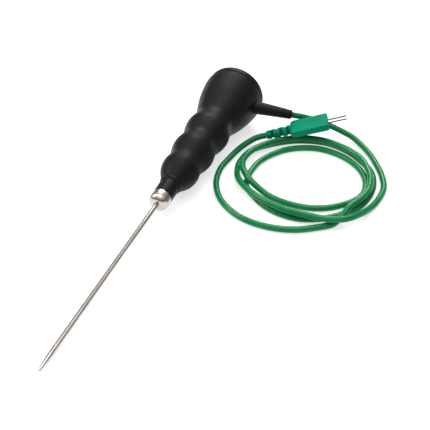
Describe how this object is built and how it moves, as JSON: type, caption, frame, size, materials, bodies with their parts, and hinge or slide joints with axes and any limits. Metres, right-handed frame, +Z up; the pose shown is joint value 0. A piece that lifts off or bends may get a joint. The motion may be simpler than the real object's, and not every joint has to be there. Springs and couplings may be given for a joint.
{
  "type": "penetration temperature probe",
  "caption": "Hand-held probe with a pointed steel stem, ribbed finger grip, side cable relief, thin green lead and a two-pin plug, for taking temperatures inside stored grain.",
  "frame": {"origin": "on the surface the probe lies on, under the middle of the probe without its lead", "axes": "+X along the probe in plan, from the pointed tip towards the end cap; +Z up; the lead leaves towards -Y"},
  "size_m": [0.2792, 0.1465, 0.0432],
  "materials": {
    "stainless": "polished",
    "bright_metal": "satin",
    "ceramic": "matte compacted mineral powder",
    "black_plastic": "satin",
    "resin": "cast resin",
    "soft_black": "soft-touch matte",
    "seal_rubber": "matte",
    "sleeve_rubber": "matte",
    "green_sheath": "glossy flexible sheath",
    "nylon": "natural nylon",
    "green_insulation": "wire insulation",
    "white_insulation": "wire insulation",
    "teal_moulding": "satin moulding",
    "dark_moulding": "satin moulding",
    "pin_metal": "satin grey metal"
  },
  "bodies": {
    "probe": {"probe_tip": "stainless", "stem_tube": "stainless", "ferrule": "stainless", "stem_collar": "bright_metal", "thermocouple_junction": "bright_metal", "thermo_wire_positive": "bright_metal", "thermo_wire_negative": "bright_metal", "mineral_core": "ceramic", "neck_tube": "black_plastic", "potting_plug": "resin", "grip": "soft_black", "strain_relief_sleeve": "sleeve_rubber", "inner_lead": "green_sheath", "cable_tie": "nylon", "conductor_positive": "green_insulation", "conductor_negative": "white_insulation", "splice_sleeve_positive": "green_insulation", "splice_sleeve_negative": "white_insulation", "crimp_splice_positive": "bright_metal", "crimp_splice_negative": "bright_metal", "lead": "green_sheath", "plug_boot": "teal_moulding", "plug_body": "teal_moulding", "plug_insert": "dark_moulding", "pin_positive": "pin_metal", "pin_negative": "pin_metal"},
    "cap": {"end_cap": "soft_black", "cap_seal": "seal_rubber"}
  },
  "joints": [
    {"name": "end_cap_pull", "type": "slide", "parent": "probe", "child": "cap", "axis": [0.997, 0, 0.0774], "range_m": [0, 0.012]}
  ]
}
